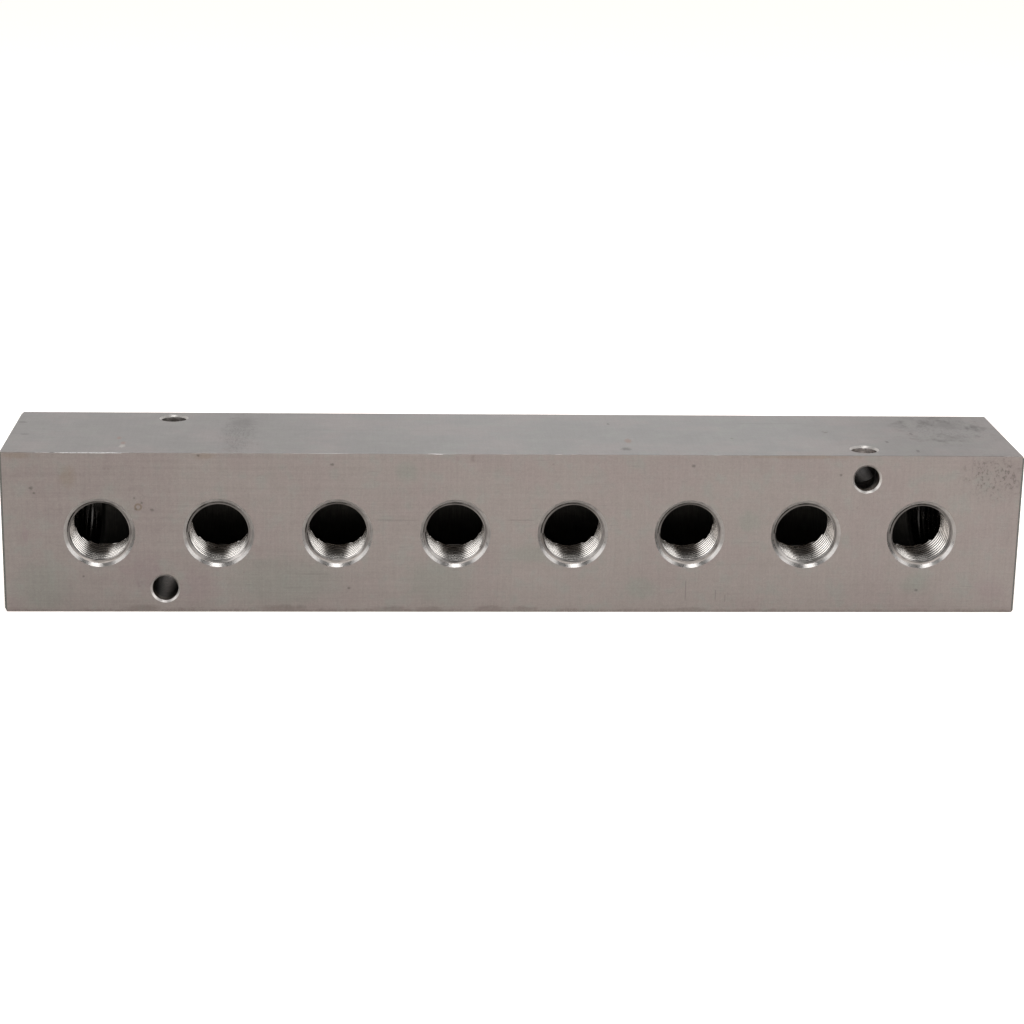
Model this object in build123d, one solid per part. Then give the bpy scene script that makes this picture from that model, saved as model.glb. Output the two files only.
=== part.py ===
from build123d import *
import math
import os

# Hydraulic manifold block: one machined steel bar with a drilled gallery along
# its length, eight ports in a row on the front face, one port in each end, and
# two pairs of crossing mounting holes.
#
# Frame: origin at the centre of the bottom face. X runs along the bar, the
# ported front face looks along -Y, the top face along +Z. Millimetres.

# ---- bar ----------------------------------------------------------------
LENGTH = 330.2            # 13 in bar
SIDE = 53.34              # 2.1 in square section
END_CHAMFER = 0.8         # 45 degree chamfer round both sawn and faced ends
LONG_EDGE_BREAK = 0.2     # deburred long edges

# ---- front ports, 1/2-14 parallel pipe thread (G 1/2) ---------------------
PORT_COUNT = 8
PORT_PITCH = 38.1         # 1.5 in between neighbouring ports
PORT_FROM_LEFT_END = 31.15  # first port's axis, 0.6 short of a centred row
PORT_BORE_D = 19.0        # thread minor diameter, the drilled bore
PORT_SHOULDER_D = 21.0    # thread major diameter, where the mouth chamfer ends
PORT_MOUTH_D = 22.9       # outer diameter of the 45 degree mouth chamfer

# ---- gallery and end ports, 3/4-14 parallel pipe thread (G 3/4) -----------
GALLERY_D = 24.0          # through drilling that joins all the ports
END_PORT_BORE_D = 24.5    # thread minor diameter at each end
END_PORT_DEPTH = 28.0     # depth of the larger bore from each end face
END_PORT_SHOULDER_D = 26.5  # thread major diameter, where its mouth chamfer ends
END_PORT_MOUTH_D = 28.4   # outer diameter of its 45 degree mouth chamfer

# ---- mounting holes -------------------------------------------------------
MOUNT_D = 8.33            # 21/64 in, close clearance for a 5/16 in or M8 bolt
MOUNT_EDGE_BREAK = 0.65   # countersink at each mouth
MOUNT_FROM_LEFT_END = 51.8
MOUNT_FROM_RIGHT_END = 51.3
MOUNT_FROM_EDGE = 7.94    # 5/16 in from the nearest long edge

# ---- derived ----------------------------------------------------------------
HALF = SIDE / 2
FRONT = -HALF
BACK = HALF
AXIS_Z = HALF                                   # height of gallery and ports
PORT_X = [-LENGTH / 2 + PORT_FROM_LEFT_END + i * PORT_PITCH for i in range(PORT_COUNT)]
MOUNT_X = {-1: -LENGTH / 2 + MOUNT_FROM_LEFT_END, 1: LENGTH / 2 - MOUNT_FROM_RIGHT_END}


def drill(diameter, start, direction, depth):
    """A cylinder from start, along direction, over depth."""
    plane = Plane(origin=start, z_dir=direction)
    return plane * Cylinder(
        diameter / 2, depth, align=(Align.CENTER, Align.CENTER, Align.MIN)
    )


def countersink(mouth, bore, start, direction):
    """The 45 degree cone at a face, from the mouth diameter down to a smaller one.

    It begins outside the face, so that the cut leaves no skin. Where the
    smaller diameter is wider than the hole below, a flat shoulder is left.
    """
    over = 1.0
    depth = (mouth - bore) / 2
    plane = Plane(origin=start, z_dir=direction) * Pos(0, 0, -over)
    return plane * Cone(
        mouth / 2 + over,
        bore / 2,
        depth + over,
        align=(Align.CENTER, Align.CENTER, Align.MIN),
    )


# ---- bar stock ----------------------------------------------------------------
block = Box(LENGTH, SIDE, SIDE, align=(Align.CENTER, Align.CENTER, Align.MIN))
block = chamfer(block.faces().filter_by(Axis.X).edges(), END_CHAMFER)
block = chamfer(block.edges().filter_by(Axis.X), LONG_EDGE_BREAK)

# ---- gallery, from end to end -----------------------------------------------
block -= drill(GALLERY_D, (-LENGTH / 2 - 1, 0, AXIS_Z), (1, 0, 0), LENGTH + 2)

# ---- threaded port in each end --------------------------------------------
for side in (-1, 1):
    face = (side * LENGTH / 2, 0, AXIS_Z)
    block -= drill(END_PORT_BORE_D, face, (-side, 0, 0), END_PORT_DEPTH)
    block -= countersink(END_PORT_MOUTH_D, END_PORT_SHOULDER_D, face, (-side, 0, 0))

# ---- eight ports down the front, each into the gallery ----------------------
for x in PORT_X:
    face = (x, FRONT, AXIS_Z)
    block -= drill(PORT_BORE_D, face, (0, 1, 0), HALF)
    block -= countersink(PORT_MOUTH_D, PORT_SHOULDER_D, face, (0, 1, 0))

# ---- mounting holes: one pair front to back, one pair top to bottom ---------
# Front to back: low at the left, high at the right.
# Top to bottom: near the back at the left, near the front at the right.
# At each end the two holes cross inside the bar.
for side in (-1, 1):
    x = MOUNT_X[side]
    z = AXIS_Z + side * (HALF - MOUNT_FROM_EDGE)
    y = -side * (HALF - MOUNT_FROM_EDGE)
    block -= drill(MOUNT_D, (x, FRONT - 1, z), (0, 1, 0), SIDE + 2)
    block -= drill(MOUNT_D, (x, y, -1), (0, 0, 1), SIDE + 2)
    mouth = MOUNT_D + 2 * MOUNT_EDGE_BREAK
    block -= countersink(mouth, MOUNT_D, (x, FRONT, z), (0, 1, 0))
    block -= countersink(mouth, MOUNT_D, (x, BACK, z), (0, -1, 0))
    block -= countersink(mouth, MOUNT_D, (x, y, SIDE), (0, 0, -1))
    block -= countersink(mouth, MOUNT_D, (x, y, 0), (0, 0, 1))

solid = block.solids()[0] if len(block.solids()) == 1 else block
os.makedirs("parts", exist_ok=True)
export_step(solid, "parts/manifold_block.step")
print("solids", len(block.solids()), "volume mm3", round(block.volume, 1))
print("box", block.bounding_box())
print("mass kg", round(block.volume * 7.85e-6, 3))
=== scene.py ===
import math
import random
import bpy
import bmesh
import numpy as np
from mathutils import Matrix, Vector


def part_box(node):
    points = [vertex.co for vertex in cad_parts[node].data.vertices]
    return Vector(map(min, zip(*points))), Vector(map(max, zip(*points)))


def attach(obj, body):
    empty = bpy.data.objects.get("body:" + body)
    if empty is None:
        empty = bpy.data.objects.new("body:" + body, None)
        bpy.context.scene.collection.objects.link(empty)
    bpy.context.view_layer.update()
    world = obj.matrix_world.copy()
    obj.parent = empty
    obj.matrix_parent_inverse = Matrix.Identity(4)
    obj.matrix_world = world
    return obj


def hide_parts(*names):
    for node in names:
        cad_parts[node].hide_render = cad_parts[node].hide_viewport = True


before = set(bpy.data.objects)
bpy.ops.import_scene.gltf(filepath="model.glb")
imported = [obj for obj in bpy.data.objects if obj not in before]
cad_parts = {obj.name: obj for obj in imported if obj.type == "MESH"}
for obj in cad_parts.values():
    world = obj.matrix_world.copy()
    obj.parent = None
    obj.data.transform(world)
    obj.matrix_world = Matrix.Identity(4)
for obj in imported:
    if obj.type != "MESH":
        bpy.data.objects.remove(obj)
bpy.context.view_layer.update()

scene = bpy.context.scene
MM = 0.001

# ------------------------------------------------------------------ sizes, mm
lo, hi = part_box("manifold_block")
LENGTH = (hi[0] - lo[0]) / MM
SIDE = (hi[2] - lo[2]) / MM
HALF = SIDE / 2
HX = LENGTH / 2
END_CHAMFER = 0.8
PORT_X = [-HX + 31.15 + i * 38.1 for i in range(8)]
THREAD = 1.814
PORT_CREST, PORT_ROOT, PORT_MOUTH = 9.5, 10.478, 11.45
END_CREST, END_ROOT, END_MOUTH = 12.25, 13.22, 14.2
PORT_SHOULDER, END_SHOULDER = 10.5, 13.25
GALLERY_R = 12.0
MOUNT_R = 4.165
MOUNT_BREAK = 0.65
MOUNT_X = {-1: -HX + 51.8, 1: HX - 51.3}
MOUNT_OFF = HALF - 7.94


# ------------------------------------------------------------------ mesh help
def new_object(name, verts, faces):
    me = bpy.data.meshes.new(name)
    me.from_pydata([tuple(v) for v in verts], [], [tuple(f) for f in faces])
    me.update()
    ob = bpy.data.objects.new(name, me)
    scene.collection.objects.link(ob)
    return ob


def axes_for(w):
    """Two directions square to w, with e1 x e2 = w."""
    w = Vector(w).normalized()
    e1 = Vector((0, 0, 1)) if abs(w.z) < 0.9 else Vector((1, 0, 0))
    e2 = w.cross(e1)
    return w, e1, e2


def placed(points, start, w):
    """Points given as (radius, angle, depth) put along the axis w from start, in metres."""
    w, e1, e2 = axes_for(w)
    s = Vector(start)
    return [
        (s + e1 * (r * math.cos(a)) + e2 * (r * math.sin(a)) + w * d) * MM
        for r, a, d in points
    ]


def spun(name, profile, start, w, n=96):
    """A closed solid of revolution. profile is [(depth, radius), ...], from outside inwards."""
    pts = []
    for d, r in profile:
        pts += [(r, 2 * math.pi * i / n, d) for i in range(n)]
    pts += [(0, 0, profile[0][0]), (0, 0, profile[-1][0])]
    rows = len(profile)
    faces = []
    for j in range(rows - 1):
        for i in range(n):
            k = (i + 1) % n
            faces.append((j * n + i, j * n + k, (j + 1) * n + k, (j + 1) * n + i))
    a, b = rows * n, rows * n + 1
    for i in range(n):
        k = (i + 1) % n
        faces.append((a, k, i))
        faces.append((b, (rows - 1) * n + i, (rows - 1) * n + k))
    return new_object(name, placed(pts, start, w), faces)


def threaded(name, crest, root, start, w, depth0, turns, n, phase, fade=None, inner=None):
    """A right-handed threaded plug that cuts an internal thread: crest and root are the hole's radii."""
    h = root - crest
    shape = [
        (0.00, crest + 0.05 * h), (0.03, crest), (0.325, crest), (0.355, crest + 0.05 * h),
        (0.57, crest + 0.9 * h), (0.625, crest + 0.98 * h), (0.6775, root),
        (0.73, crest + 0.98 * h), (0.785, crest + 0.9 * h),
    ]
    m = len(shape)
    rows = turns * m
    pts = []
    for i in range(n):
        a = 2 * math.pi * i / n
        for j in range(rows + 1):
            t, r = shape[j % m]
            d = depth0 + (j // m + t + i / n + phase) * THREAD
            if fade:
                f = min(max((fade[1] - d) / (fade[1] - fade[0]), 0.0), 1.0)
                r = crest + (r - crest) * f
                if inner is not None and f == 0.0:
                    r = inner
            pts.append((r, a, d))
    per = rows + 1
    faces = []
    for i in range(n):
        last = i == n - 1
        for j in range(rows):
            if last:
                if j + m + 1 > rows:
                    continue
                a0, a1 = j + m, j + m + 1
                faces.append((i * per + j, a0, a1, i * per + j + 1))
            else:
                a0 = (i + 1) * per + j
                faces.append((i * per + j, a0, a0 + 1, i * per + j + 1))
    # the two ragged ends close on the axis
    start_loop = [i * per for i in range(n)] + list(range(m, 0, -1))
    top = n - 1
    end_loop = [i * per + rows for i in range(n)]
    end_loop += [top * per + k for k in range(rows - 1, rows - m, -1)]
    # close the seam at the far end: column n-1 rows rows-m..rows against column 0's last row
    end_loop += [top * per + rows - m]
    c0 = len(pts)
    pts.append((0, 0, depth0 + phase * THREAD + 0.5 * THREAD - 0.6))
    c1 = len(pts)
    pts.append((0, 0, depth0 + (turns + phase + 0.5) * THREAD + 0.6))
    for k in range(len(start_loop)):
        a, b = start_loop[k], start_loop[(k + 1) % len(start_loop)]
        faces.append((c0, b, a))
    for k in range(len(end_loop)):
        a, b = end_loop[k], end_loop[(k + 1) % len(end_loop)]
        faces.append((c1, a, b))
    return new_object(name, placed(pts, start, w), faces)


def clean_normals(ob):
    bm = bmesh.new()
    bm.from_mesh(ob.data)
    bmesh.ops.remove_doubles(bm, verts=bm.verts, dist=1e-9)
    bmesh.ops.recalc_face_normals(bm, faces=bm.faces)
    open_edges = sum(1 for e in bm.edges if not e.is_manifold)
    vol = bm.calc_volume(signed=True)
    bm.to_mesh(ob.data)
    bm.free()
    return open_edges, vol


def cut(target, cutters):
    """Takes the cutters out of the target, and removes them."""
    for c in cutters:
        bad, vol = clean_normals(c)
        if bad:
            print("cutter", c.name, "open edges", bad)
        mod = target.modifiers.new("cut", "BOOLEAN")
        mod.operation = "DIFFERENCE"
        mod.solver = "MANIFOLD"
        mod.object = c
        dg = bpy.context.evaluated_depsgraph_get()
        me = bpy.data.meshes.new_from_object(target.evaluated_get(dg))
        target.modifiers.clear()
        old = target.data
        target.data = me
        bpy.data.meshes.remove(old)
        m = c.data
        bpy.data.objects.remove(c)
        bpy.data.meshes.remove(m)


# ------------------------------------------------------------------ bar stock
def smooth_noise(seed, count, lo_v, hi_v, step):
    """A gently wandering list of numbers between lo_v and hi_v."""
    rnd = random.Random(seed)
    knots = [rnd.random() for _ in range(count // step + 3)]
    out = []
    for i in range(count):
        k, f = divmod(i / step, 1)
        f = f * f * (3 - 2 * f)
        v = knots[int(k)] * (1 - f) + knots[int(k) + 1] * f
        out.append(lo_v + (hi_v - lo_v) * v)
    return out


STATIONS = 220


def bar_stock():
    xs = [-HX + END_CHAMFER + (LENGTH - 2 * END_CHAMFER) * k / (STATIONS - 1) for k in range(STATIONS)]
    # how far each long edge was broken by the file, along the bar
    # order round the section: front-bottom, back-bottom, back-top, front-top
    breaks = [
        smooth_noise(11, STATIONS, 0.05, 0.16, 6),
        smooth_noise(12, STATIONS, 0.06, 0.2, 9),
        smooth_noise(13, STATIONS, 0.06, 0.2, 7),
        smooth_noise(14, STATIONS, 0.05, 0.11, 5),
    ]
    bright = ((-155, -151.5, 0.13), (-150, -147.5, 0.17), (-146, -126.5, 0.26), (-26.5, -21.5, 0.2), (15.2, 17.2, 0.2), (-93, -90, 0.14), (67, 70, 0.13))
    for k, x in enumerate(xs):
        for a, b, w in bright:
            if a <= x <= b:
                breaks[3][k] = w * (0.85 + 0.3 * random.Random(k * 7 + 1).random())
    verts = []

    def section(x, inset, c):
        # inset of the bottom, back, top and front faces, c the four breaks; goes round from the front-bottom corner
        b, k, t, f = inset
        z0, z1, y0, y1 = b, SIDE - t, -HALF + f, HALF - k
        return [
            (x, y0, z0 + c[0]), (x, y0 + c[0], z0),
            (x, y1 - c[1], z0), (x, y1, z0 + c[1]),
            (x, y1, z1 - c[2]), (x, y1 - c[2], z1),
            (x, y0 + c[3], z1), (x, y0, z1 - c[3]),
        ]

    e = 0.05
    rings = [section(-HX, (1.05, 0.8, 0.6, 0.8), [e] * 4)]
    for k, x in enumerate(xs):
        rings.append(section(x, (0, 0, 0, 0), [breaks[q][k] for q in range(4)]))
    rings.append(section(HX, (0.55, 0.8, 1.15, 0.75), [e] * 4))
    for r in rings:
        verts += [(a * MM, b * MM, c * MM) for a, b, c in r]
    faces = []
    for k in range(len(rings) - 1):
        for q in range(8):
            p = (q + 1) % 8
            faces.append((k * 8 + q, k * 8 + p, (k + 1) * 8 + p, (k + 1) * 8 + q))
    faces.append(tuple(range(7, -1, -1)))
    base = (len(rings) - 1) * 8
    faces.append(tuple(base + q for q in range(8)))
    return new_object("block_body", verts, faces)


block = bar_stock()
clean_normals(block)

cutters = []
# gallery from end to end
cutters.append(spun("gallery", [(-2, GALLERY_R), (LENGTH + 2, GALLERY_R)], (-HX, 0, HALF), (1, 0, 0), 128))
for side in (-1, 1):
    face = (side * HX, 0, HALF)
    inward = (-side, 0, 0)
    cutters.append(spun("end_bore", [(-2, END_CREST - 0.02), (27.7, END_CREST - 0.02), (28.4, GALLERY_R - 0.15)], face, inward, 128))
    cutters.append(threaded("end_thread", END_CREST, END_ROOT, face, inward, -3.2, 17, 96, 0.3 if side > 0 else 0.72, (21.0, 26.0), END_CREST - 0.06))
    cutters.append(spun("end_mouth", [(-1.5, END_MOUTH + 1.5), (END_MOUTH - END_SHOULDER, END_SHOULDER)], face, inward, 128))
for i, x in enumerate(PORT_X):
    face = (x, -HALF, HALF)
    inward = (0, 1, 0)
    phase = (0.0, 0.37, 0.71, 0.18, 0.55, 0.86, 0.29, 0.63)[i]
    cutters.append(threaded("port_thread", PORT_CREST, PORT_ROOT, face, inward, -3.6, 15, 72, phase))
    cutters.append(spun("port_mouth", [(-1.5, PORT_MOUTH + 1.5), (PORT_MOUTH - PORT_SHOULDER, PORT_SHOULDER)], face, inward, 96))
for side in (-1, 1):
    x = MOUNT_X[side]
    z = HALF + side * MOUNT_OFF
    y = -side * MOUNT_OFF
    b = MOUNT_BREAK
    prof = [(-2, MOUNT_R + b + 2), (b, MOUNT_R), (SIDE - b, MOUNT_R), (SIDE + 2, MOUNT_R + b + 2)]
    cutters.append(spun("mount_fb", prof, (x, -HALF, z), (0, 1, 0), 64))
    cutters.append(spun("mount_tb", prof, (x, y, 0), (0, 0, 1), 64))
cut(block, cutters)
bad, volume = clean_normals(block)
print("block faces", len(block.data.polygons), "open edges", bad, "volume cm3", round(volume * 1e6, 2))
tri = sum(len(p.vertices) - 2 for p in block.data.polygons)
print("triangles", tri)

me = block.data
me.polygons.foreach_set("use_smooth", [True] * len(me.polygons))
me.set_sharp_from_angle(angle=math.radians(24))
me.update()
block.name = "manifold_body"

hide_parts("manifold_block")
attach(block, "root")


# ------------------------------------------------------------------ node help
class Nodes:
    """A material's node tree, with short ways to build it."""

    def __init__(self, name):
        self.mat = bpy.data.materials.new(name)
        self.mat.use_nodes = True
        self.nt = self.mat.node_tree
        self.nt.nodes.clear()
        self.out = self.nt.nodes.new("ShaderNodeOutputMaterial")
        self.bsdf = self.nt.nodes.new("ShaderNodeBsdfPrincipled")
        self.nt.links.new(self.bsdf.outputs["BSDF"], self.out.inputs["Surface"])
        tc = self.nt.nodes.new("ShaderNodeTexCoord")
        self.mm = self.vec("MULTIPLY", tc.outputs["Object"], (1000, 1000, 1000))
        sep = self.nt.nodes.new("ShaderNodeSeparateXYZ")
        self.nt.links.new(self.mm, sep.inputs[0])
        self.x, self.y, self.z = sep.outputs

    def feed(self, socket, value):
        if value is None:
            return
        if isinstance(value, bpy.types.NodeSocket):
            self.nt.links.new(value, socket)
        else:
            socket.default_value = value

    def vec(self, op, a, b=None, c=None):
        n = self.nt.nodes.new("ShaderNodeVectorMath")
        n.operation = op
        for s, v in zip(n.inputs, (a, b, c)):
            self.feed(s, v)
        return n.outputs["Value"] if op in ("LENGTH", "DISTANCE", "DOT_PRODUCT") else n.outputs["Vector"]

    def math(self, op, a, b=None, c=None, clamp=False):
        n = self.nt.nodes.new("ShaderNodeMath")
        n.operation = op
        n.use_clamp = clamp
        for s, v in zip(n.inputs, (a, b, c)):
            self.feed(s, v)
        return n.outputs[0]

    def noise(self, scale, detail=2.0, rough=0.5, stretch=None, offset=None, distort=0.0):
        """A noise field whose scale is in features per millimetre."""
        v = self.mm
        if stretch:
            v = self.vec("MULTIPLY", v, stretch)
        if offset:
            v = self.vec("ADD", v, offset)
        n = self.nt.nodes.new("ShaderNodeTexNoise")
        n.inputs["Scale"].default_value = scale
        n.inputs["Detail"].default_value = detail
        n.inputs["Roughness"].default_value = rough
        n.inputs["Distortion"].default_value = distort
        self.nt.links.new(v, n.inputs["Vector"])
        return n.outputs["Fac"]

    def span(self, value, a, b, c=0.0, d=1.0, smooth=True):
        """value from a..b mapped to c..d, held at the ends."""
        n = self.nt.nodes.new("ShaderNodeMapRange")
        n.interpolation_type = "SMOOTHSTEP" if smooth else "LINEAR"
        self.feed(n.inputs["Value"], value)
        n.inputs["From Min"].default_value = a
        n.inputs["From Max"].default_value = b
        n.inputs["To Min"].default_value = c
        n.inputs["To Max"].default_value = d
        return n.outputs["Result"]

    def mix(self, fac, a, b, mode="MIX"):
        n = self.nt.nodes.new("ShaderNodeMix")
        n.data_type = "RGBA"
        n.blend_type = mode
        n.clamp_factor = True
        self.feed(n.inputs[0], fac)
        for s, v in ((n.inputs[6], a), (n.inputs[7], b)):
            self.feed(s, (*v, 1.0) if isinstance(v, tuple) and len(v) == 3 else v)
        return n.outputs[2]

    def scaled(self, colour, value):
        """A colour times a number."""
        c = self.nt.nodes.new("ShaderNodeCombineColor")
        for s in c.inputs:
            self.feed(s, value)
        return self.mix(1.0, colour, c.outputs[0], "MULTIPLY")

    def bump(self, height, strength, distance):
        n = self.nt.nodes.new("ShaderNodeBump")
        n.inputs["Strength"].default_value = strength
        n.inputs["Distance"].default_value = distance
        self.feed(n.inputs["Height"], height)
        self.nt.links.new(n.outputs["Normal"], self.bsdf.inputs["Normal"])
        return n

    def spot(self, x, y, z, rx, ry, rz, wobble, soft=0.55):
        """1 inside an uneven blot round (x, y, z) with half sizes rx, ry, rz, in millimetres."""
        d = self.vec("SUBTRACT", self.mm, (x, y, z))
        d = self.vec("DIVIDE", d, (rx, ry, rz))
        r = self.vec("LENGTH", d)
        r = self.math("ADD", r, wobble)
        return self.span(r, 1.0 + soft * 0.5, 1.0 - soft * 0.5, 0.0, 1.0)

    def many(self, marks, strength):
        """The strongest of several marks at each point, times a strength."""
        out = marks[0]
        for k in marks[1:]:
            out = self.math("MAXIMUM", out, k)
        return self.math("MULTIPLY", out, strength)


def milled_faces():
    m = Nodes("milled_faces")
    geo = m.nt.nodes.new("ShaderNodeNewGeometry")
    nrm = m.nt.nodes.new("ShaderNodeSeparateXYZ")
    m.nt.links.new(geo.outputs["True Normal"], nrm.inputs[0])
    ob = m.nt.nodes.new("ShaderNodeVectorTransform")
    ob.vector_type = "NORMAL"
    ob.convert_from, ob.convert_to = "WORLD", "OBJECT"
    m.nt.links.new(geo.outputs["True Normal"], ob.inputs[0])
    m.nt.links.new(ob.outputs[0], nrm.inputs[0])
    on_end = m.span(m.math("ABSOLUTE", nrm.outputs[0]), 0.8, 0.9)
    on_top = m.span(nrm.outputs[2], 0.8, 0.9)
    on_front = m.span(m.math("MULTIPLY", nrm.outputs[1], -1.0), 0.8, 0.9)

    # cloudy tints: warm grey, greener and pinker where the oil film is thicker
    cloud = m.noise(0.045, 3.0, 0.55, offset=(3.1, 0, 7.7))
    cloud2 = m.noise(0.14, 3.0, 0.6, offset=(41.0, 5, 2.2))
    patch = m.noise(0.3, 3.0, 0.6, offset=(9.0, 2, 17.2))
    wob = m.span(patch, 0.25, 0.75, -0.45, 0.45, False)
    fine_wob = m.span(m.noise(1.6, 3.0, 0.65), 0.25, 0.75, -0.55, 0.55, False)
    warm = (0.218, 0.197, 0.1865)
    neutral = (0.190, 0.1845, 0.181)
    col = m.mix(on_top, warm, neutral)
    col = m.mix(m.span(m.math("ADD", cloud2, m.math("MULTIPLY", patch, 0.4)), 0.68, 0.88, 0.0, 0.55), col, (0.196, 0.2, 0.186))
    col = m.mix(m.span(m.math("ADD", cloud, m.math("MULTIPLY", patch, 0.3)), 0.7, 0.5, 0.0, 0.5), col, (0.222, 0.192, 0.186))
    greens = [
        (-152.67, 8.9, 7.6, 7.4), (-35.3, 47.1, 2.9, 2.9), (-74.7, 10.8, 16, 7.6), (-25.3, 10.1, 8.6, 6.8),
        (41.3, 8.3, 4.5, 3.4), (76.1, 30.7, 4.0, 3.2), (131.7, 10.3, 4.2, 3.2), (-99, 31, 5, 2.5), (5, 20, 6, 3),
    ]
    col = m.mix(m.many([m.spot(x, -HALF, z, rx, 3.0, rz, wob, 1.1) for x, z, rx, rz in greens], 0.5), col, (0.178, 0.189, 0.170))
    pinks = [(-120.0, 13.3, 6, 5.2), (156.8, 7.7, 4.2, 4), (-19.3, 51.9, 1.0, 0.9), (-103, 8.3, 6.5, 5), (-157.6, 26.7, 0.8, 3.2)]
    col = m.mix(m.many([m.spot(x, -HALF, z, rx, 3.0, rz, wob, 1.0) for x, z, rx, rz in pinks], 0.45), col, (0.205, 0.168, 0.17))
    yellows = [(-144.1, 45.0, 2.4, 3.2), (-99.8, 52.3, 3.0, 1.0), (91.4, 52.8, 18, 0.5), (-158.5, 52.2, 5, 1.0)]
    col = m.mix(m.many([m.spot(x, -HALF, z, rx, 3.0, rz, wob, 1.0) for x, z, rx, rz in yellows], 0.5), col, (0.19, 0.158, 0.128))

    # lengthwise and crosswise cutter marks
    long_streak = m.noise(1.0, 3.0, 0.6, stretch=(0.018, 1.0, 1.0))
    fine_long = m.noise(1.0, 2.0, 0.6, stretch=(0.07, 3.2, 3.2), distort=0.3)
    cross = m.noise(1.0, 2.0, 0.6, stretch=(1.9, 0.06, 0.06))
    grain = m.noise(1.15, 3.0, 0.75)
    # arcs a face mill leaves on the end faces
    arc = m.vec("LENGTH", m.vec("SUBTRACT", m.mm, (0.0, -58.0, 31.0)))
    arcs = m.math("SINE", m.math("ADD", m.math("MULTIPLY", arc, 7.5), m.math("MULTIPLY", patch, 5.0)))
    arc_noise = m.math("MULTIPLY", arcs, m.span(cloud2, 0.35, 0.65, 0.2, 1.0))
    side = m.math("SUBTRACT", 1.0, on_end)
    light = m.math("ADD", 1.0, m.span(cloud, 0.3, 0.7, -0.05, 0.05, False))
    light = m.math("ADD", light, m.span(cloud2, 0.3, 0.7, -0.035, 0.035, False))
    left = m.span(m.x, -60.0, 20.0, 1.0, 0.55)
    light = m.math("ADD", light, m.math("MULTIPLY", m.math("MULTIPLY", side, left), m.span(long_streak, 0.25, 0.75, -0.034, 0.034, False)))
    light = m.math("ADD", light, m.math("MULTIPLY", m.math("MULTIPLY", side, left), m.span(fine_long, 0.25, 0.75, -0.036, 0.036, False)))
    light = m.math("ADD", light, m.math("MULTIPLY", side, m.span(cross, 0.25, 0.75, -0.036, 0.036, False)))
    light = m.math("ADD", light, m.span(grain, 0.25, 0.75, -0.085, 0.085, False))
    light = m.math("ADD", light, m.span(m.noise(2.6, 2.0, 0.7, offset=(1, 2, 3)), 0.25, 0.75, -0.07, 0.07, False))
    light = m.math("ADD", light, m.math("MULTIPLY", on_end, m.math("MULTIPLY", arc_noise, 0.07)))
    # painted shade: the left of the ported face is a little darker
    face_shade_paint = m.math("ADD", m.span(m.x, -165.0, -40.0, 0.11, 0.0), m.span(m.x, -50.0, 10.0, 0.0, -0.045))
    face_shade_paint = m.math("MULTIPLY", on_front, face_shade_paint)
    # and painted shade at both ends of the top face
    top_end_shade_paint = m.math("MAXIMUM", m.span(m.x, 0.0, -90.0, 0.0, 0.155), m.span(m.x, 85.0, 140.0, 0.0, 0.235))
    top_end_shade_paint = m.math("MULTIPLY", on_top, top_end_shade_paint)
    face_shade_paint = m.math("ADD", face_shade_paint, top_end_shade_paint)
    light = m.math("SUBTRACT", light, face_shade_paint)
    col = m.scaled(col, light)
    # the painted shade on the top face is tinted a little warmer
    col = m.mix(m.math("MULTIPLY", top_end_shade_paint, 4.0), col, m.mix(1.0, col, (1.0, 0.955, 0.935), "MULTIPLY"))

    # stains, specks and smudges
    stains = [(-76.1, 1.2, 7.2, 1.1), (-40.7, 1.0, 4, 0.9), (-27.7, 1.0, 4, 0.9), (-8, 1.2, 4, 1.0), (3.4, 1.0, 4, 0.9), (-120, 1.2, 5, 1.2), (58, 0.9, 6, 0.7)]
    # the front face is darker in streaks along its bottom edge
    bottom_edge_dark = m.math("MULTIPLY", m.span(m.math("ADD", m.z, m.math("MULTIPLY", wob, 1.2)), 1.5, 0.3), m.span(cross, 0.35, 0.6, 0.25, 0.8))
    bottom_edge_dark = m.math("MULTIPLY", bottom_edge_dark, on_front)
    stain = m.many([m.spot(x, -HALF, z, rx, 3.0, rz, wob, 0.9) for x, z, rx, rz in stains], 0.3)
    stain = m.math("MAXIMUM", m.math("MULTIPLY", stain, m.span(grain, 0.3, 0.6, 0.5, 1.2)), m.math("MULTIPLY", bottom_edge_dark, 0.5))
    # blots that can turn up on the faces out of sight too
    odd = m.noise(0.09, 4.0, 0.62, offset=(71.0, 13.0, 29.0))
    stain = m.math("MAXIMUM", stain, m.span(odd, 0.69, 0.76, 0.0, 0.45))
    col = m.mix(stain, col, (0.105, 0.084, 0.074))

    specks = [
        (-122.6, 38.3, 0.4), (-117.0, 34.4, 0.5), (-155.2, 41.5, 0.6), (-154.3, 39.9, 0.45), (-59.4, 49.7, 0.55), (-54.0, 8.2, 0.45),
        (57.1, 49.7, 0.55), (132.2, 7.7, 0.5), (105.1, 46.9, 0.45), (-102.0, 52.5, 0.5), (-120.2, 36.7, 0.4), (-122.2, 34.6, 0.45), (-139.5, 12.0, 0.4),
    ]
    dark = m.many([m.spot(x, -HALF, z, a * 0.95, 2.0, a * 0.8, fine_wob, 1.5) for x, z, a in specks], 0.5)
    top_specks = [(35.6, -19.4, 1.5, 1.7), (123.3, -8.9, 0.5, 1.3), (131.2, -20.4, 0.55, 1.4), (133.6, 2.0, 0.5, 1.3), (32.7, 13.6, 0.4, 1.0), (-159.8, -3.6, 1.4, 0.5), (-162.7, 12.4, 1.4, 0.6)]
    dark = m.math("MAXIMUM", dark, m.many([m.spot(x, y, SIDE, a, b, 2.0, fine_wob, 0.9) for x, y, a, b in top_specks], 0.42))
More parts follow.
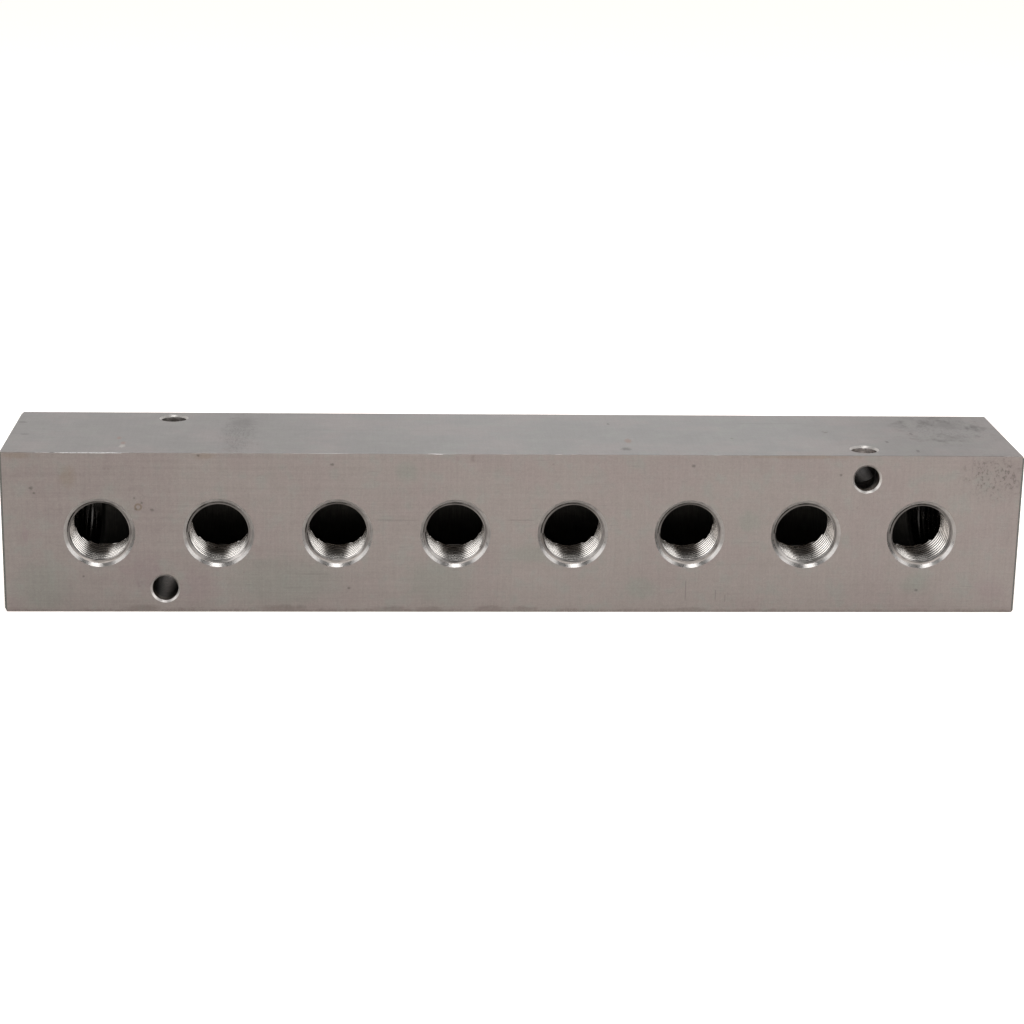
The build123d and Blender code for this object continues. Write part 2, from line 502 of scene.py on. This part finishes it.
    # smears: squiggles across the top face, soft clouds at its right end, rows of fine dots on the front
    squiggle = m.noise(1.0, 1.0, 0.5, stretch=(0.55, 0.14, 0.5), offset=(5, 55, 5), distort=2.2)
    squiggle = m.span(m.math("ABSOLUTE", m.math("SUBTRACT", squiggle, 0.5)), 0.09, 0.0)
    clouds = m.span(m.noise(1.0, 3.0, 0.55, stretch=(0.16, 0.075, 0.1), offset=(3, 8, 1)), 0.4, 0.66)
    dots = m.span(m.noise(1.0, 3.0, 0.65, stretch=(1.15, 0.8, 0.9), offset=(2, 5, 4)), 0.5, 0.66)
    on_left = m.spot(-90.5, -1.6, SIDE, 4.8, 24.0, 3.0, wob, 0.9)
    on_right = m.spot(147.0, 9.0, SIDE, 14.0, 15.0, 3.0, wob, 1.0)
    front_right = m.spot(155.5, -HALF, 46.0, 9.5, 3.0, 6.2, wob, 1.1)
    dark = m.math("MAXIMUM", dark, m.math("MULTIPLY", on_left, m.math("ADD", m.math("MULTIPLY", squiggle, 0.2), 0.09)))
    dark = m.math("MAXIMUM", dark, m.math("MULTIPLY", on_right, m.math("ADD", m.math("MULTIPLY", clouds, 0.54), m.math("MULTIPLY", dots, 0.24))))
    dark = m.math("MAXIMUM", dark, m.math("MULTIPLY", front_right, m.math("ADD", m.math("MULTIPLY", dots, 0.4), 0.06)))
    dark = m.math("MAXIMUM", dark, m.many([m.spot(148.6, 13.9, SIDE, 4.6, 4.5, 3.0, wob, 1.3), m.spot(-90.0, 13.0, SIDE, 4.0, 6.0, 3.0, wob, 1.3)], 0.22))
    col = m.mix(dark, col, (0.055, 0.05, 0.047))
    # a ring dried on beside the first port
    ring = m.vec("LENGTH", m.vec("SUBTRACT", m.mm, (-121.4, -HALF, 35.3)))
    ring = m.math("SUBTRACT", 1.0, m.span(m.math("ABSOLUTE", m.math("SUBTRACT", ring, 0.95)), 0.1, 0.5))
    ring = m.math("MULTIPLY", ring, m.span(patch, 0.3, 0.6, 0.25, 0.6))
    col = m.mix(ring, col, (0.12, 0.088, 0.062))
    # red lead specks on the top face
    red = m.many([m.spot(-128.9, -8.2, SIDE, 0.7, 1.6, 2.0, fine_wob, 0.9), m.spot(-126.9, -14.6, SIDE, 0.8, 1.6, 2.0, fine_wob, 0.9), m.spot(37.3, -9.1, SIDE, 1.1, 2.6, 2.0, fine_wob, 0.9)], 0.55)
    col = m.mix(red, col, (0.19, 0.1, 0.072))
    col = m.mix(m.many([m.spot(-126.9, -18.4, SIDE, 0.9, 1.8, 2.0, fine_wob, 0.9)], 0.5), col, (0.36, 0.345, 0.31))

    # scratches
    def line(x, y, z, a, b, c):
        d = m.vec("ABSOLUTE", m.vec("SUBTRACT", m.mm, (x, y, z)))
        d = m.vec("DIVIDE", d, (a, b, c))
        sp = m.nt.nodes.new("ShaderNodeSeparateXYZ")
        m.nt.links.new(d, sp.inputs[0])
        return m.span(m.math("MAXIMUM", m.math("MAXIMUM", sp.outputs[0], sp.outputs[1]), sp.outputs[2]), 1.1, 0.7)

    nicks = [
        line(55.9, -HALF, 7.6, 0.17, 1, 3.6), line(65.8, -HALF, 5.9, 0.15, 1, 1.9), line(-65.0, -HALF, 12.9, 4.9, 1, 0.12),
        line(-38.4, -HALF, 31.2, 7.3, 1, 0.12), line(1.3, -HALF, 31.3, 4.7, 1, 0.12), line(69.0, -HALF, 4.8, 0.12, 1, 1.3),
        line(-28.0, 4.0, SIDE, 9.0, 0.2, 1), line(88.0, 15.0, SIDE, 12.0, 0.22, 1), line(10.0, 14.0, 0.0, 20.0, 0.2, 1),
        line(-60.0, HALF, 33.0, 16.0, 1, 0.16), line(92.0, HALF, 20.0, 0.18, 1, 7.0),
    ]
    nick = m.many(nicks, 0.48)
    hair = m.noise(1.0, 1.0, 0.5, stretch=(0.025, 2.6, 2.6), offset=(0, 3.3, 8.1), distort=0.6)
    hairs = m.math("MULTIPLY", m.span(m.math("ABSOLUTE", m.math("SUBTRACT", hair, 0.5)), 0.012, 0.002), m.span(cloud2, 0.45, 0.62))
    hairs = m.math("MULTIPLY", hairs, side)
    col = m.mix(m.math("MAXIMUM", nick, m.math("MULTIPLY", hairs, 0.28)), col, (0.1, 0.092, 0.088))
    m.nt.links.new(col, m.bsdf.inputs["Base Color"])
    m.bsdf.inputs["Metallic"].default_value = 1.0
    rough = m.math("ADD", m.span(grain, 0.2, 0.8, 0.36, 0.48, False), m.span(cloud, 0.3, 0.7, -0.03, 0.03, False))
    rough = m.math("ADD", rough, m.math("MULTIPLY", m.math("MAXIMUM", dark, stain), 0.2))
    m.nt.links.new(rough, m.bsdf.inputs["Roughness"])
    height = m.math("ADD", m.math("MULTIPLY", m.math("MULTIPLY", side, fine_long), 0.5), m.math("MULTIPLY", grain, 0.5))
    height = m.math("ADD", height, m.math("MULTIPLY", on_end, m.math("MULTIPLY", arc_noise, 0.25)))
    height = m.math("SUBTRACT", height, m.math("MULTIPLY", nick, 1.2))
    m.bump(height, 0.4, 0.00002)
    return m.mat


def cut_threads(name="cut_threads", tone=(0.54, 0.515, 0.488), rough=(0.23, 0.29), starts=False):
    m = Nodes(name)
    grain = m.noise(0.35, 2.0, 0.5)
    blot = m.noise(0.28, 2.0, 0.55, offset=(7, 1, 3))
    # tool lines run round each bore: the ports lie along y, the end ports along x
    round_y = m.noise(1.0, 1.0, 0.5, stretch=(0.1, 0.9, 0.1), offset=(0, 4.4, 0))
    in_port = m.span(m.y, -HALF + 21.5, -HALF + 19.0)
    light = m.math("ADD", m.span(grain, 0.25, 0.75, 0.9, 1.1, False), m.span(round_y, 0.25, 0.75, -0.16, 0.16, False))
    # painted shade: deeper in the end ports and the ports the threads are darkened almost to black
    deep_thread_shade_paint = m.math("MAXIMUM", m.span(m.math("ABSOLUTE", m.x), HX - 16.0, HX - 5.0, 0.0, 1.0), m.span(m.x, -10.0, 10.0, 0.055, 0.028))
    light = m.math("MULTIPLY", light, m.math("MAXIMUM", deep_thread_shade_paint, in_port))
    # place round the nearest port
    lx = m.math("SUBTRACT", m.math("FLOORED_MODULO", m.math("SUBTRACT", m.x, PORT_X[0] - 19.05), 38.1), 19.05)
    lz = m.math("SUBTRACT", m.z, HALF)
    radius = m.math("SQRT", m.math("ADD", m.math("MULTIPLY", lx, lx), m.math("MULTIPLY", lz, lz)))
    if starts:
        # the first turn leaves a spiral line and dulls towards the upper left
        turn = m.math("DIVIDE", m.math("ARCTAN2", lz, lx), 2 * math.pi)
        off = m.math("ABSOLUTE", m.math("SUBTRACT", radius, m.math("ADD", m.math("MULTIPLY", turn, 0.62), 9.95)))
        on_face = m.span(m.y, -HALF + 3.2, -HALF + 2.8)
        spiral = m.math("MULTIPLY", m.span(off, 0.26, 0.1), m.math("MULTIPLY", on_face, m.span(blot, 0.3, 0.6, 0.15, 0.55)))
        corner = m.math("ADD", m.math("MULTIPLY", lx, -0.06), m.math("MULTIPLY", lz, 0.075))
        dim = m.math("MULTIPLY", m.span(corner, -0.25, 0.75, 0.0, 0.42), on_face)
        light = m.math("MULTIPLY", light, m.math("SUBTRACT", 1.0, m.math("ADD", spiral, dim)))
        light = m.math("MULTIPLY", light, m.span(m.noise(0.22, 2.0, 0.5, offset=(4, 9, 6)), 0.3, 0.7, 0.86, 1.18, False))
        # painted highlight: the first turn is brighter along the bottom
        light = m.math("MULTIPLY", light, m.math("ADD", 1.0, m.math("MULTIPLY", m.span(lz, -4.0, -9.0, 0.0, 0.8), on_face)))
    else:
        # crests keep the drill's duller skin
        crest = m.math("MULTIPLY", m.span(radius, PORT_CREST + 0.14, PORT_CREST + 0.04), in_port)
        light = m.math("MULTIPLY", light, m.math("SUBTRACT", 1.0, m.math("MULTIPLY", crest, 0.55)))
    col = m.scaled(tone, light)
    col = m.mix(m.span(blot, 0.6, 0.75, 0.0, 0.35), col, (0.11, 0.098, 0.085))
    # painted shade, tinted brown, lies along the bottom of each port
    lean = m.math("ADD", m.math("ARCTAN2", lx, m.math("MULTIPLY", lz, -1.0)), m.math("MULTIPLY", m.x, -0.0015))
    port_bottom_shade_paint = m.math("MULTIPLY", m.span(m.math("ABSOLUTE", lean), 0.56, 0.3), m.span(m.y, -HALF + 4.5, -HALF + 11.5))
    port_bottom_shade_paint = m.math("MULTIPLY", m.math("MULTIPLY", port_bottom_shade_paint, in_port), m.span(blot, 0.3, 0.65, 0.88, 0.66))
    col = m.mix(port_bottom_shade_paint, col, (0.05, 0.038, 0.028))
    m.nt.links.new(col, m.bsdf.inputs["Base Color"])
    m.bsdf.inputs["Metallic"].default_value = 1.0
    m.nt.links.new(m.span(grain, 0.25, 0.75, rough[0], rough[1], False), m.bsdf.inputs["Roughness"])
    return m.mat


def mouth_chamfers():
    m = Nodes("mouth_chamfers")
    grain = m.noise(0.5, 2.0, 0.6)
    # the upper half is rougher, and painted lighter: a painted highlight
    upper = m.span(m.z, HALF - 3.0, HALF + 6.0)
    tone = m.math("MULTIPLY", m.span(grain, 0.25, 0.75, 0.82, 1.16, False), m.span(upper, 0.0, 1.0, 1.0, 1.57, False))
    col = m.scaled((0.26, 0.249, 0.24), tone)
    m.nt.links.new(col, m.bsdf.inputs["Base Color"])
    m.bsdf.inputs["Metallic"].default_value = 1.0
    rough = m.math("ADD", m.span(grain, 0.2, 0.8, 0.24, 0.32, False), m.span(upper, 0.0, 1.0, 0.0, 0.2, False))
    m.nt.links.new(rough, m.bsdf.inputs["Roughness"])
    return m.mat


def hole_breaks():
    m = Nodes("hole_breaks")
    grain = m.noise(0.8, 2.0, 0.6)
    col = m.scaled((0.37, 0.354, 0.338), m.span(grain, 0.25, 0.75, 0.85, 1.15, False))
    m.nt.links.new(col, m.bsdf.inputs["Base Color"])
    m.bsdf.inputs["Metallic"].default_value = 1.0
    m.bsdf.inputs["Roughness"].default_value = 0.42
    return m.mat


def drilled_gallery():
    m = Nodes("drilled_gallery")
    rings = m.noise(1.0, 2.0, 0.6, stretch=(3.0, 0.2, 0.2))
    # the gallery's near-black colour is painted shade, darker still at its steps near the ends
    tone = m.math("MULTIPLY", m.span(rings, 0.25, 0.75, 0.75, 1.25, False), m.span(m.math("ABSOLUTE", m.x), HX - 29.5, HX - 28.4, 1.0, 0.35))
    col = m.scaled((0.07, 0.066, 0.06), tone)
    m.nt.links.new(col, m.bsdf.inputs["Base Color"])
    m.bsdf.inputs["Metallic"].default_value = 1.0
    m.nt.links.new(m.span(m.math("ABSOLUTE", m.x), HX - 29.5, HX - 28.4, 0.58, 0.95), m.bsdf.inputs["Roughness"])
    m.bump(rings, 0.3, 0.00003)
    return m.mat


def drilled_holes():
    m = Nodes("drilled_holes")
    rings = m.noise(1.0, 2.0, 0.6, stretch=(0.35, 2.0, 2.0))
    tool = m.noise(0.5, 3.0, 0.6)
    # walls of the two holes that run up and down, drilled cleaner than the other pair, and painted lighter as painted
    # light
    upright = None
    for side in (-1, 1):
        d = m.vec("SUBTRACT", m.mm, (MOUNT_X[side], -side * MOUNT_OFF, 0.0))
        d = m.vec("LENGTH", m.vec("MULTIPLY", d, (1.0, 1.0, 0.0)))
        on_wall = m.span(m.math("ABSOLUTE", m.math("SUBTRACT", d, MOUNT_R)), 0.14, 0.05)
        upright = on_wall if upright is None else m.math("MAXIMUM", upright, on_wall)
    # painted shade: the walls darken from the mouths inwards
    depth = m.math("MAXIMUM", m.math("ABSOLUTE", m.y), m.math("ABSOLUTE", m.math("SUBTRACT", m.z, HALF)))
    light = m.math("MULTIPLY", m.span(rings, 0.25, 0.75, 0.6, 1.35, False), m.span(depth, HALF - 5.0, HALF - 2.6, 0.17, 1.1))
    # painted light on the upright walls
    light = m.math("ADD", light, m.math("MULTIPLY", upright, m.span(rings, 0.3, 0.7, 0.55, 1.25, False)))
    light = m.math("MULTIPLY", light, m.span(tool, 0.3, 0.7, 0.75, 1.2, False))
    col = m.scaled(m.mix(upright, (0.25, 0.21, 0.183), (0.222, 0.206, 0.198)), light)
    m.nt.links.new(col, m.bsdf.inputs["Base Color"])
    m.bsdf.inputs["Metallic"].default_value = 1.0
    m.nt.links.new(m.span(upright, 0.0, 1.0, 0.4, 0.36, False), m.bsdf.inputs["Roughness"])
    m.bump(rings, 0.7, 0.00009)
    return m.mat


def broken_edges():
    m = Nodes("broken_edges")
    grain = m.noise(1.2, 3.0, 0.7)
    # painted highlight: the front-top edge is painted brighter along these stretches
    edge_highlight_paint = None
    for a, b, w in ((-153.5, -149.0, 0.8), (-147.5, -124.0, 1.0), (-102, -96, 0.35), (-72, -54.0, 0.4), (-28.7, -24.0, 0.9), (-4.5, -2.0, 0.6), (12.0, 14.2, 0.8), (63.5, 66.0, 0.6), (158.0, 164.0, 1.0)):
        z = m.math("MULTIPLY", m.span(m.x, a - 0.4, a + 0.4), m.span(m.x, b + 0.4, b - 0.4, 0.0, w))
        edge_highlight_paint = z if edge_highlight_paint is None else m.math("MAXIMUM", edge_highlight_paint, z)
    other = m.span(m.noise(0.05, 2.0, 0.5), 0.5, 0.62, 0.15, 0.7)
    at_front_top = m.math("MULTIPLY", m.span(m.y, -HALF + 0.6, -HALF + 0.5), m.span(m.z, SIDE - 0.6, SIDE - 0.5))
    amount = m.nt.nodes.new("ShaderNodeMix")
    m.feed(amount.inputs[0], at_front_top)
    m.feed(amount.inputs[2], other)
    m.feed(amount.inputs[3], edge_highlight_paint)
    amt = m.math("MULTIPLY", amount.outputs[0], m.span(grain, 0.3, 0.65, 0.35, 1.0))
    col = m.mix(amt, (0.125, 0.122, 0.118), (0.34, 0.335, 0.33))
    m.nt.links.new(col, m.bsdf.inputs["Base Color"])
    m.bsdf.inputs["Metallic"].default_value = 1.0
    m.nt.links.new(m.span(grain, 0.2, 0.8, 0.3, 0.45, False), m.bsdf.inputs["Roughness"])
    return m.mat


def end_chamfers():
    m = Nodes("end_chamfers")
    grain = m.noise(1.2, 3.0, 0.65)
    # the end chamfers' near-black colour is a painted dark reflection
    col = m.scaled((0.085, 0.086, 0.08), m.span(grain, 0.25, 0.75, 0.7, 1.3, False))
    m.nt.links.new(col, m.bsdf.inputs["Base Color"])
    m.bsdf.inputs["Metallic"].default_value = 1.0
    m.nt.links.new(m.span(grain, 0.2, 0.8, 0.38, 0.5, False), m.bsdf.inputs["Roughness"])
    return m.mat


# thread_starts is a much darker copy of cut_threads for the faces looking out of each mouth: its darkness is painted
# shade
finishes = [milled_faces(), cut_threads(), drilled_gallery(), drilled_holes(), broken_edges(), end_chamfers(), mouth_chamfers(), cut_threads("thread_starts", (0.165, 0.156, 0.149), (0.3, 0.4), True), hole_breaks()]
block.data.materials.clear()
for f in finishes:
    block.data.materials.append(f)


def sort_faces():
    """Gives each face the finish of the tool that cut it."""
    me = block.data
    n = len(me.polygons)
    c = np.empty(n * 3)
    w = np.empty(n * 3)
    me.polygons.foreach_get("center", c)
    me.polygons.foreach_get("normal", w)
    c = c.reshape(n, 3) / MM
    w = w.reshape(n, 3)
    x, y, z = c[:, 0], c[:, 1], c[:, 2] - HALF
    slot = np.full(n, 2)
    flat = (
        ((np.abs(w[:, 1]) > 0.995) & (np.abs(np.abs(y) - HALF) < 0.02))
        | ((np.abs(w[:, 2]) > 0.995) & (np.abs(np.abs(z) - HALF) < 0.02))
        | ((np.abs(w[:, 0]) > 0.995) & (np.abs(np.abs(x) - HX) < 0.02))
    )
    ends = np.hypot(y, z) < END_MOUTH + 0.1
    slot[(np.abs(x) > HX - 27.6) & ends & (np.hypot(y, z) > GALLERY_R + 0.05)] = 1
    for px in PORT_X:
        r = np.hypot(x - px, z)
        slot[(r < PORT_MOUTH + 0.1) & (y < -HALF + 21.5) & (np.hypot(y, z) > GALLERY_R + 0.04)] = 1
    for side in (-1, 1):
        mx = MOUNT_X[side]
        r = np.hypot(x - mx, z - side * MOUNT_OFF)
        slot[r < MOUNT_R + MOUNT_BREAK + 0.05] = 3
        r = np.hypot(x - mx, y + side * MOUNT_OFF)
        slot[r < MOUNT_R + MOUNT_BREAK + 0.05] = 3
        slot[(r > MOUNT_R + 0.01) & (r < MOUNT_R + MOUNT_BREAK + 0.05) & (np.abs(np.abs(z) - HALF) < MOUNT_BREAK + 0.02)] = 8
        r = np.hypot(x - mx, z - side * MOUNT_OFF)
        slot[(r > MOUNT_R + 0.01) & (r < MOUNT_R + MOUNT_BREAK + 0.05) & (np.abs(np.abs(y) - HALF) < MOUNT_BREAK + 0.02)] = 8
    for px in PORT_X:
        r = np.hypot(x - px, z)
        slot[(r > PORT_SHOULDER) & (r < PORT_MOUTH + 0.1) & (y < -HALF + 0.97)] = 6
    slot[(np.abs(x) > HX - 0.97) & ends & (np.hypot(y, z) > END_SHOULDER)] = 6
    # the flat shoulder and the first flank inside each mouth take thread_starts, the darker copy painted as shade
    slot[(slot == 1) & (w[:, 1] < -0.6) & (y < -HALF + 2.6)] = 7
    slot[(slot == 1) & (w[:, 0] * np.sign(x) > 0.6) & (np.abs(x) > HX - 2.6)] = 7
    slot[(slot == 1) & (np.abs(x) < HX - 27.0) & (np.abs(x) > HX - 29.0) & (np.hypot(y, z) < END_CREST + 0.03)] = 2
    outer = np.maximum(np.abs(y), np.abs(z))
    slot[(np.abs(x) > HX - END_CHAMFER - 0.02) & (np.abs(w[:, 0]) > 0.3) & (outer > HALF - 1.2)] = 5
    both = (np.abs(y) > HALF - 0.35) & (np.abs(z) > HALF - 0.35) & (np.abs(w[:, 0]) < 0.3)
    slot[both] = 4
    slot[flat] = 0
    me.polygons.foreach_set("material_index", slot.astype(np.int32))
    me.update()
    print("faces per finish", np.bincount(slot, minlength=9).tolist())


sort_faces()


# ------------------------------------------------------------------ stage
floor = new_object("floor", [(-6, -6, 0), (6, -6, 0), (6, 8, 0), (-6, 8, 0)], [(0, 1, 2, 3)])
fm = Nodes("floor_paper")
fm.bsdf.inputs["Base Color"].default_value = (0.9, 0.865, 0.84, 1)
fm.bsdf.inputs["Roughness"].default_value = 0.9
fm.bsdf.inputs["Specular IOR Level"].default_value = 0.1
fm.bsdf.inputs["Emission Color"].default_value = (1.0, 0.93, 0.88, 1)
fm.bsdf.inputs["Emission Strength"].default_value = 0.45
floor.data.materials.append(fm.mat)


# ------------------------------------------------------------------ lights
def area(name, az, el, dist, size, size_y, radiance, colour=(1, 1, 1), aim=(0, 0, 0.03)):
    """A soft box seen from the block at azimuth az (0 is -Y, 90 is +X) and elevation el, in degrees."""
    a, e = math.radians(az), math.radians(el)
    loc = Vector(aim) + Vector((math.sin(a) * math.cos(e), -math.cos(a) * math.cos(e), math.sin(e))) * dist
    li = bpy.data.lights.new(name, "AREA")
    li.shape = "RECTANGLE"
    li.size = size
    li.size_y = size_y
    li.energy = radiance * math.pi * size * size_y
    li.color = colour
    ob = bpy.data.objects.new(name, li)
    scene.collection.objects.link(ob)
    ob.location = loc
    ob.rotation_euler = (Vector(aim) - loc).to_track_quat("-Z", "Y").to_euler()
    return ob


world = bpy.data.worlds.new("studio")
scene.world = world
world.use_nodes = True
wn = world.node_tree
bg = wn.nodes["Background"]
wtc = wn.nodes.new("ShaderNodeTexCoord")
wsep = wn.nodes.new("ShaderNodeSeparateXYZ")
wn.links.new(wtc.outputs["Generated"], wsep.inputs[0])
wmap = wn.nodes.new("ShaderNodeMapRange")
wmap.interpolation_type = "SMOOTHSTEP"
wmap.inputs["From Min"].default_value = -0.35
wmap.inputs["From Max"].default_value = 0.75
wmap.inputs["To Min"].default_value = 0.22
wmap.inputs["To Max"].default_value = 1.3
wn.links.new(wsep.outputs["Y"], wmap.inputs["Value"])
wn.links.new(wmap.outputs["Result"], bg.inputs["Strength"])
bg.inputs["Color"].default_value = (1.0, 0.985, 0.975, 1)

area("soft_left", -58, 27, 1.3, 1.15, 1.0, 2.8)
area("soft_right", 58, 27, 1.3, 1.15, 1.0, 2.8)
area("top_small", 0, 74, 1.5, 0.56, 0.42, 8)

# ------------------------------------------------------------------ camera
cam = bpy.data.cameras.new("camera")
cam_ob = bpy.data.objects.new("camera", cam)
scene.collection.objects.link(cam_ob)
scene.camera = cam_ob
cam.sensor_width = 36
cam.sensor_fit = "HORIZONTAL"
cam.lens = 2432.5825 * 36 / 1024
cam.clip_start = 0.01
cam.clip_end = 50
right = Vector((0.99852689, -0.05119441, 0.01797724))
forward = Vector((0.05417928, 0.95870581, -0.27919129)).normalized()
right = (right - forward * right.dot(forward)).normalized()
up = right.cross(forward)
rot = Matrix((right, up, -forward)).transposed()
cam_ob.matrix_world = Matrix.Translation(
    Vector((-44.0305, -780.155, 253.4644)) * MM
) @ rot.to_4x4()
cam.dof.use_dof = False

scene.view_settings.view_transform = "Standard"
scene.view_settings.look = "None"
scene.view_settings.exposure = 0
scene.view_settings.gamma = 1
